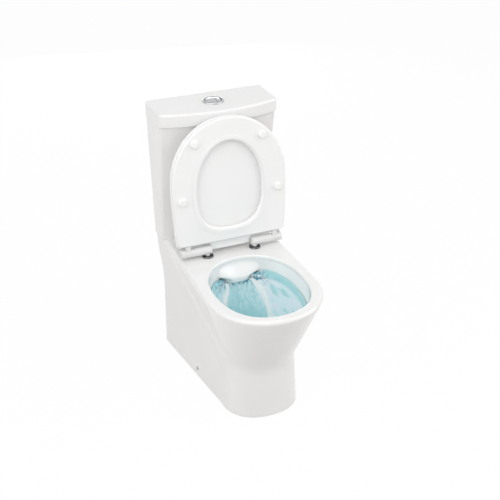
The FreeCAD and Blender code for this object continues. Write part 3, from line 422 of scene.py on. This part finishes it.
def makeButtonCap(name):
    node, body, side = buttonCaps["caps"][name]
    low, high = [Vector(corner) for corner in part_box(node)]
    top = high.z - sum(lift for inset, lift in buttonCaps["dome"])
    middle = Vector((0.0, (low.y + high.y) / 2, (low.z + top) / 2))
    cap = startPiece(name, bpy.ops.mesh.primitive_cylinder_add, vertices=buttonCaps["segments"],
                     radius=buttonCaps["radius"], depth=top - low.z, location=middle)
    bpy.ops.object.transform_apply(location=True, rotation=True, scale=True)

    def isTop(place):
        return place.z > top - buttonCaps["near"]

    pickFaces(cap, isTop)
    bpy.ops.mesh.region_to_loop()
    bpy.ops.mesh.bevel(offset=buttonCaps["edge"], segments=4, affect="EDGES")
    pickFaces(cap, isTop)
    for inset, lift in buttonCaps["dome"]:
        bpy.ops.mesh.inset(thickness=inset)
        bpy.ops.transform.translate(value=(0.0, 0.0, lift))
    bpy.ops.mesh.select_all(action="SELECT")
    cut = buttonCaps["split"] + side * buttonCaps["splitGap"] / 2
    bpy.ops.mesh.bisect(plane_co=(cut, 0.0, 0.0), plane_no=(side, 0.0, 0.0),
                        clear_inner=True, use_fill=True)
    pickFaces(cap, lambda place: abs(place.x - cut) < buttonCaps["near"])
    bpy.ops.mesh.region_to_loop()
    bpy.ops.mesh.bevel(offset=buttonCaps["splitEdge"], segments=2, affect="EDGES")
    bpy.ops.mesh.select_all(action="SELECT")
    bpy.ops.mesh.remove_doubles(threshold=buttonCaps["weld"])
    bpy.ops.mesh.normals_make_consistent(inside=False)
    bpy.ops.object.mode_set(mode="OBJECT")
    bpy.ops.object.shade_smooth_by_angle(angle=math.radians(buttonCaps["sharpAngle"]))
    cap.data.materials.clear()
    cap.data.materials.append(finishes["chrome"])
    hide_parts(node)
    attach(cap, body)


for name in buttonCaps["caps"]:
    makeButtonCap(name)
print("button caps made")


# flush water: a thin sheet that swirls down the wall of the bowl into the standing water
flushSheet = {
    "segments": 72,
    # height, half width, half length and middle of each ring
    "rings": [(0.3800, 0.1330, 0.1670, -0.1120), (0.3600, 0.1305, 0.1645, -0.1115),
              (0.3400, 0.1290, 0.1610, -0.1100), (0.3214, 0.1270, 0.1587, -0.1086),
              (0.2930, 0.1200, 0.1500, -0.1045), (0.2642, 0.1110, 0.1372, -0.0993),
              (0.2380, 0.1000, 0.1230, -0.0890), (0.2119, 0.0885, 0.1068, -0.0760),
              (0.1880, 0.0740, 0.0850, -0.0620), (0.1690, 0.0590, 0.0660, -0.0500),
              (0.1600, 0.0500, 0.0550, -0.0440)],
    "poolShrink": (0.66, 0.45),
    "poolLip": 0.004,
    # the upper edge of the water falls towards the front, and faster on the left
    "edgeHeight": 0.3543,
    "edgeFall": 0.081,
    "leftHeight": 0.3735,
    "leftFall": 0.31,
    # half width and height of the cut under the nose
    "underNose": (0.077, 0.3265),
    "offWall": 0.0036,
    "thickness": 0.0018,
    "ripple": {"size": 0.016, "height": 0.0016},
}


def makeFlushSheet():
    height, halfWidth, halfLength, middle = flushSheet["rings"][0]
    sheet = startPiece("flushSheet", bpy.ops.mesh.primitive_circle_add,
                       vertices=flushSheet["segments"], radius=1.0)
    bpy.ops.object.mode_set(mode="EDIT")
    bpy.ops.mesh.select_mode(type="VERT")
    bpy.ops.mesh.select_all(action="SELECT")
    bpy.ops.transform.resize(value=(halfWidth, halfLength, 1.0))
    bpy.ops.transform.translate(value=(0.0, middle, height))
    for above, below in zip(flushSheet["rings"], flushSheet["rings"][1:]):
        bpy.ops.mesh.extrude_region_move(
            TRANSFORM_OT_translate={"value": (0.0, below[3] - above[3], below[0] - above[0])})
        bpy.ops.transform.resize(value=(below[1] / above[1], below[2] / above[2], 1.0),
                                 center_override=(0.0, below[3], below[0]))
    pool = flushSheet["rings"][-1]
    for shrink in flushSheet["poolShrink"]:
        bpy.ops.mesh.extrude_region_move(TRANSFORM_OT_translate={"value": (0.0, 0.0, 0.0)})
        bpy.ops.transform.resize(value=(shrink, shrink, 1.0), center_override=(0.0, pool[3], pool[0]))
    bpy.ops.mesh.merge(type="CENTER")
    bpy.ops.mesh.select_all(action="SELECT")
    bpy.ops.mesh.normals_make_consistent(inside=True)
    bpy.ops.object.mode_set(mode="OBJECT")

    addModifier(sheet, "SUBSURF", levels=2, render_levels=2)
    wall = groupPoints(sheet, "wall", lambda place: place.z > pool[0] + flushSheet["poolLip"])
    clingToBowl(sheet, flushSheet["offWall"], wall)
    bpy.ops.object.mode_set(mode="EDIT")
    for height, sideFall in ((flushSheet["edgeHeight"], 0.0),
                             (flushSheet["leftHeight"], flushSheet["leftFall"])):
        bpy.ops.mesh.select_all(action="SELECT")
        bpy.ops.mesh.bisect(plane_co=(0.0, 0.0, height),
                            plane_no=(-sideFall, -flushSheet["edgeFall"], 1.0), clear_outer=True)
    halfWidth, height = flushSheet["underNose"]
    pickFaces(sheet, lambda place: abs(place.x) < halfWidth and place.y > 0.0)
    bpy.ops.mesh.bisect(plane_co=(0.0, 0.0, height), plane_no=(0.0, 0.0, 1.0), clear_outer=True)
    bpy.ops.object.mode_set(mode="OBJECT")
    rippleSurface(sheet, **flushSheet["ripple"])
    addModifier(sheet, "SOLIDIFY", thickness=flushSheet["thickness"], offset=-1.0)
    return sheet


# streams fall from the lower corners of the nose, jets run along the wall from its side mouths
flushRibbons = {
    "leftStream": {
        "path": [(-0.036, 0.046, 0.327), (-0.038, 0.046, 0.311), (-0.045, 0.040, 0.290),
                 (-0.055, 0.030, 0.265), (-0.062, 0.012, 0.238), (-0.064, -0.010, 0.212),
                 (-0.056, -0.028, 0.188), (-0.042, -0.040, 0.168)],
        "widths": [0.012, 0.014, 0.016, 0.018, 0.020, 0.024, 0.024, 0.020],
        "upright": False,
    },
    "rightStream": {
        "path": [(0.043, 0.046, 0.327), (0.0555, 0.0395, 0.312), (0.0665, 0.0295, 0.297),
                 (0.0755, 0.0165, 0.276), (0.081, 0.005, 0.254), (0.0845, -0.006, 0.234),
                 (0.086, -0.020, 0.214), (0.075, -0.036, 0.190), (0.052, -0.044, 0.168)],
        "widths": [0.015, 0.022, 0.027, 0.031, 0.031, 0.030, 0.030, 0.030, 0.026],
        "upright": False,
    },
    "leftJet": {
        "path": [(-0.043, 0.0500, 0.3325), (-0.050, 0.0460, 0.3348), (-0.058, 0.0400, 0.3360),
                 (-0.066, 0.0345, 0.3375), (-0.074, 0.0285, 0.3390), (-0.083, 0.0205, 0.3395),
                 (-0.095, 0.0080, 0.3370), (-0.106, -0.010, 0.3310), (-0.118, -0.042, 0.3220),
                 (-0.125, -0.080, 0.3150), (-0.128, -0.115, 0.3110), (-0.125, -0.150, 0.3090),
                 (-0.116, -0.190, 0.3090), (-0.098, -0.225, 0.3110)],
        "widths": [0.012, 0.0175, 0.020, 0.022, 0.023, 0.023, 0.021,
                   0.019, 0.020, 0.020, 0.019, 0.017, 0.014, 0.008],
        "upright": True,
    },
    "rightJet": {
        "path": [(0.043, 0.0500, 0.3325), (0.050, 0.0460, 0.3348), (0.058, 0.0400, 0.3362),
                 (0.066, 0.0345, 0.3388), (0.074, 0.0285, 0.3420), (0.083, 0.0205, 0.3440),
                 (0.095, 0.0080, 0.3455), (0.106, -0.010, 0.3450), (0.118, -0.042, 0.3420),
                 (0.127, -0.080, 0.3390), (0.1315, -0.115, 0.3360), (0.131, -0.150, 0.3330),
                 (0.124, -0.190, 0.3300), (0.108, -0.225, 0.3270)],
        "widths": [0.012, 0.0175, 0.0205, 0.024, 0.026, 0.026, 0.023,
                   0.019, 0.019, 0.019, 0.018, 0.016, 0.013, 0.008],
        "upright": True,
    },
}

ribbonShape = {
    "offWall": 0.0046,
    "thickness": 0.0022,
    "ripple": {"size": 0.010, "height": 0.0014},
    # an upright jet leaves the wall behind this line, to reach its mouth in the nose
    "freeFrom": 0.031,
}


def makeRibbon(name):
    ribbon = flushRibbons[name]
    path = [Vector(place) for place in ribbon["path"]]
    widths = ribbon["widths"]
    piece = startPiece(name, bpy.ops.mesh.primitive_plane_add, size=1.0)
    edge = Vector((0.0, -0.5, 0.0))
    pickPoints(piece, lambda place: place.y > 0.0)
    bpy.ops.mesh.delete(type="VERT")
    bpy.ops.mesh.select_all(action="SELECT")
    if ribbon["upright"]:
        bpy.ops.transform.rotate(value=math.pi / 2, orient_axis="Y", center_override=edge)
    bpy.ops.transform.resize(value=(widths[0], widths[0], widths[0]), center_override=edge)
    bpy.ops.transform.translate(value=path[0] - edge)
    for step in range(1, len(path)):
        bpy.ops.mesh.extrude_region_move(TRANSFORM_OT_translate={"value": path[step] - path[step - 1]})
        growth = widths[step] / widths[step - 1]
        bpy.ops.transform.resize(value=(growth, growth, growth), center_override=path[step])
    bpy.ops.mesh.select_all(action="SELECT")
    bpy.ops.mesh.subdivide(number_cuts=3, smoothness=0.0)
    bpy.ops.object.mode_set(mode="OBJECT")
    addModifier(piece, "SUBSURF", levels=1, render_levels=1)
    wall = groupPoints(piece, "wall", lambda place: (
        not ribbon["upright"] or place.y < ribbonShape["freeFrom"]))
    clingToBowl(piece, ribbonShape["offWall"], wall)
    rippleSurface(piece, **ribbonShape["ripple"])
    addModifier(piece, "SOLIDIFY", thickness=ribbonShape["thickness"], offset=0.0)
    addModifier(piece, "SUBSURF", levels=1, render_levels=1)
    bpy.ops.object.mode_set(mode="EDIT")
    bpy.ops.mesh.select_all(action="SELECT")
    bpy.ops.mesh.normals_make_consistent(inside=False)
    bpy.ops.object.mode_set(mode="OBJECT")
    return piece


# turquoise water: teal between the two streams, paler swirls beside them, white where it is full of air,
# and dark blue as painted shade
waterTint = {
    "paintedShade": (0.070, 0.290, 0.400),
    "deep": (0.460, 0.740, 0.780),
    "teal": (0.630, 0.840, 0.875),
    "band": (0.410, 0.720, 0.750),
    "pale": (0.740, 0.885, 0.915),
    "lavender": (0.830, 0.885, 0.925),
    "white": (0.920, 0.945, 0.945),
    "foam": (0.975, 0.960, 0.950),
    "ior": 1.33,
}

# where each tint lies: "turn" goes round the bowl from the back, "fall" down from the lip of the nose
waterFlow = {
    "bowlMiddle": 0.095,
    "noseHeight": 0.328,
    "speckle": {"scale": 120.0, "detail": 4.0, "stretch": (1.0, 1.0, 0.6), "roughness": 0.6},
    "centreTints": [(0.34, "deep"), (0.50, "teal"), (0.72, "pale")],
    "swirl": {"scale": 20.0, "detail": 3.0, "stretch": (1.0, 0.6, 2.0)},
    "sideTints": [(0.28, "band"), (0.42, "pale"), (0.58, "lavender")],
    # right and left: how far round the streams start and how fast they spread as they fall
    "streamStart": (0.300, 0.200),
    "streamSpread": (5.3, 3.4),
    "streamWarp": {"scale": 45.0, "detail": 3.0},
    "warpSize": (0.16, -0.08),
    "streamReach": (0.75, 0.09),
    "streamFade": (1.15, 0.35),
    "streamShare": 0.85,
    "besideFade": (-0.06, 0.10),
    "lowerFall": (0.075, 0.125),
    "lowerShare": 0.7,
    # one long teal patch beside each stream
    "patchMiddle": (0.375, 0.028),
    "patchAcross": (0.12, 0.03),
    "patchAlong": (0.022, 0.008),
    "patchShare": 0.8,
    "leftShare": 0.40,
    # a smooth teal band under the upper edge
    "bandBelow": (0.034, 0.014),
    "bandTurn": (0.40, 0.65),
    "bandShare": 0.85,
    # painted shade: dark water in the shade of the nose and under its two arches
    "shadeFall": (0.030, 0.004),
    "shadeTurn": (0.75, 0.45),
    "spots": (0.54, 0.40),
    "archTop": (0.3340, 0.3420),
    "archTurn": (0.58, 0.36),
    "archShare": 0.8,
    "frontTurn": (1.9, 2.7),
    "frontShare": 0.6,
    "roughness": (0.06, 0.16),
    "relief": (0.25, 0.002),
}


def tintStops(stops):
    return [(at, waterTint[tint]) for at, tint in stops]


def waterEdge(tree, place):
    right = multiplyAdd(tree, place["Y"], flushSheet["edgeFall"], flushSheet["edgeHeight"])
    step = multiplyAdd(tree, place["X"], flushSheet["leftFall"],
                       flushSheet["leftHeight"] - flushSheet["edgeHeight"])
    return mathNode(tree, "MINIMUM", mathNode(tree, "ADD", step, right), right)


def makeWater():
    flow = waterFlow
    material, tree, shader = startMaterial("flushWater")
    place = objectPlace(tree)

    def tinted(colour, share, amount, tint):
        return mixColours(tree, multiply(tree, share, amount), colour, tint)

    # how far each point lies from the middle of its stream
    turn = mathNode(tree, "ARCTAN2", mathNode(tree, "ABSOLUTE", place["X"]),
                    mathNode(tree, "ADD", place["Y"], flow["bowlMiddle"]))
    fall = mathNode(tree, "SUBTRACT", flow["noseHeight"], place["Z"])
    onRight = mathNode(tree, "GREATER_THAN", place["X"], 0.0)
    start, spread = [multiplyAdd(tree, onRight, right - left, left)
                     for right, left in (flow["streamStart"], flow["streamSpread"])]
    middle = mathNode(tree, "ADD", multiply(tree, fall, spread), start)
    warp = multiplyAdd(tree, objectNoise(tree, **flow["streamWarp"]), *flow["warpSize"])
    beside = mathNode(tree, "ADD", mathNode(tree, "SUBTRACT", turn, middle), warp)
    reach = multiplyAdd(tree, fall, *flow["streamReach"])
    inStream = mathNode(tree, "DIVIDE", mathNode(tree, "ABSOLUTE", beside), reach)
    stream = softStep(tree, inStream, *flow["streamFade"])

    speckle = objectNoise(tree, **flow["speckle"])
    centre = colourRamp(tree, speckle, tintStops(flow["centreTints"]))
    lower = softStep(tree, fall, *flow["lowerFall"])
    centre = tinted(centre, lower, flow["lowerShare"], waterTint["band"])
    side = colourRamp(tree, objectNoise(tree, **flow["swirl"]), tintStops(flow["sideTints"]))
    across = distanceFrom(tree, beside, flow["patchMiddle"][0])
    along = distanceFrom(tree, fall, flow["patchMiddle"][1])
    patch = multiply(tree, softStep(tree, across, *flow["patchAcross"]),
                     softStep(tree, along, *flow["patchAlong"]))
    side = tinted(side, patch, flow["patchShare"], waterTint["band"])
    colour = mixColours(tree, softStep(tree, beside, *flow["besideFade"]), centre, side)
    onLeft = mathNode(tree, "LESS_THAN", place["X"], 0.0)
    colour = tinted(colour, onLeft, flow["leftShare"], waterTint["band"])
    colour = tinted(colour, stream, flow["streamShare"], waterTint["white"])

    below = mathNode(tree, "SUBTRACT", waterEdge(tree, place), place["Z"])
    band = multiply(tree, softStep(tree, below, *flow["bandBelow"]),
                    softStep(tree, turn, *flow["bandTurn"]))
    colour = tinted(colour, band, flow["bandShare"], waterTint["band"])
    # painted shade: the shade and arch masks mix the dark blue into the water's colour
    shade = multiply(tree, softStep(tree, fall, *flow["shadeFall"]),
                     softStep(tree, turn, *flow["shadeTurn"]))
    colour = tinted(colour, shade, softStep(tree, speckle, *flow["spots"]), waterTint["paintedShade"])
    archShade = multiply(tree, softStep(tree, place["Z"], *flow["archTop"]),
                    softStep(tree, turn, *flow["archTurn"]))
    colour = tinted(colour, archShade, flow["archShare"], waterTint["paintedShade"])
    front = softStep(tree, turn, *flow["frontTurn"])
    colour = tinted(colour, front, flow["frontShare"], waterTint["deep"])
    tree.links.new(colour, shader.inputs["Base Color"])
    tree.links.new(between(tree, speckle, *flow["roughness"]), shader.inputs["Roughness"])
    roughen(tree, shader, speckle, *flow["relief"])
    shader.inputs["IOR"].default_value = waterTint["ior"]
    return material


# foam of the two streams, drawn out along the fall
foamStreaks = {"scale": 60.0, "detail": 4.0, "stretch": (2.4, 1.0, 0.5), "roughness": 0.6}
foamLook = {
    "name": "flushFoam",
    "mottle": foamStreaks,
    "colours": tintStops([(0.30, "lavender"), (0.42, "foam"), (0.75, "white")]),
    "gloss": foamStreaks,
    "roughness": (0.10, 0.25),
    "grain": {"scale": 170.0, "detail": 3.0, "stretch": (1.6, 1.0, 0.5)},
    "relief": (0.4, 0.002),
    "sockets": {"IOR": waterTint["ior"]},
}


def makeFlushWater():
    water = makeWater()
    foam = makeFinish(foamLook)
    pieces = [(makeFlushSheet(), water)]
    for name in flushRibbons:
        pieces.append((makeRibbon(name), foam if name.endswith("Stream") else water))
    for piece, material in pieces:
        piece.data.materials.clear()
        piece.data.materials.append(material)
        for face in piece.data.polygons:
            face.use_smooth = True
        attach(piece, "toilet_body")


makeFlushWater()
print("flush water made")


# studio: pale room, softboxes left, right, above and behind and a key over the camera's shoulder
studioLight = {
    "skyOnObject": 0.50,
    "aim": (0.0, 0.0, 0.35),
    "lamps": {
        "key": {"place": (-1.5, -2.3, 3.1), "size": 2.4, "watts": 28.0},
        "right": {"place": (2.6, -1.5, 1.7), "size": 3.0, "watts": 43.0},
        "left": {"place": (-2.8, -1.0, 1.6), "size": 3.0, "watts": 35.0},
        "top": {"place": (0.0, -0.6, 3.6), "size": 2.5, "watts": 18.0},
        "back": {"place": (0.7, 3.2, 0.7), "size": 1.4, "watts": 22.0},
    },
}

studioFloor = {
    "size": 16.0,
    "drop": 0.0005,
    "colour": (0.90, 0.90, 0.90),
    "bounce": (0.62, 0.595, 0.58),
    "glow": 0.96,
}


# one look for what the camera, gloss and glass see, another for the light on the object
def chooseByRay(tree, litBy, seen, outKind):
    path = addNode(tree, "ShaderNodeLightPath")
    rays = mathNode(tree, "MAXIMUM", path.outputs["Is Camera Ray"], path.outputs["Is Glossy Ray"])
    rays = mathNode(tree, "MAXIMUM", rays, path.outputs["Is Transmission Ray"])
    choose = addNode(tree, "ShaderNodeMixShader")
    out = addNode(tree, outKind)
    tree.links.new(rays, choose.inputs["Fac"])
    tree.links.new(litBy.outputs[0], choose.inputs[1])
    tree.links.new(seen.outputs[0], choose.inputs[2])
    tree.links.new(choose.outputs[0], out.inputs["Surface"])


def addBackground(tree, strength):
    background = addNode(tree, "ShaderNodeBackground")
    background.inputs["Color"].default_value = (1.0, 1.0, 1.0, 1.0)
    background.inputs["Strength"].default_value = strength
    return background


def addDiffuse(tree, colour):
    diffuse = addNode(tree, "ShaderNodeBsdfDiffuse")
    diffuse.inputs["Color"].default_value = (*colour, 1.0)
    return diffuse


def lightTheRoom():
    world = bpy.data.worlds.new("studioWhite")
    bpy.context.scene.world = world
    world.use_nodes = True
    tree = world.node_tree
    tree.nodes.clear()
    chooseByRay(tree, addBackground(tree, studioLight["skyOnObject"]), addBackground(tree, 1.0),
                "ShaderNodeOutputWorld")
    for name, lamp in studioLight["lamps"].items():
        bpy.ops.object.light_add(type="AREA", location=lamp["place"])
        light = bpy.context.object
        light.name = name + "Softbox"
        light.data.energy = lamp["watts"]
        light.data.size = lamp["size"]
        turnTowards(light, lamp["place"], studioLight["aim"])


def layFloor():
    bpy.ops.object.select_all(action="DESELECT")
    bpy.ops.mesh.primitive_plane_add(size=studioFloor["size"], location=(0.0, 0.0, -studioFloor["drop"]))
    floor = bpy.context.object
    floor.name = "studioFloor"
    material = bpy.data.materials.new("paleFloor")
    material.use_nodes = True
    tree = material.node_tree
    tree.nodes.clear()
    glow = addNode(tree, "ShaderNodeEmission")
    glow.inputs["Strength"].default_value = 1.0
    lit = addNode(tree, "ShaderNodeMixShader")
    lit.inputs["Fac"].default_value = studioFloor["glow"]
    tree.links.new(addDiffuse(tree, studioFloor["colour"]).outputs[0], lit.inputs[1])
    tree.links.new(glow.outputs[0], lit.inputs[2])
    chooseByRay(tree, addDiffuse(tree, studioFloor["bounce"]), lit, "ShaderNodeOutputMaterial")
    floor.data.materials.append(material)


lightTheRoom()
layFloor()
bpy.context.scene.view_settings.view_transform = "Standard"
print("studio lit")
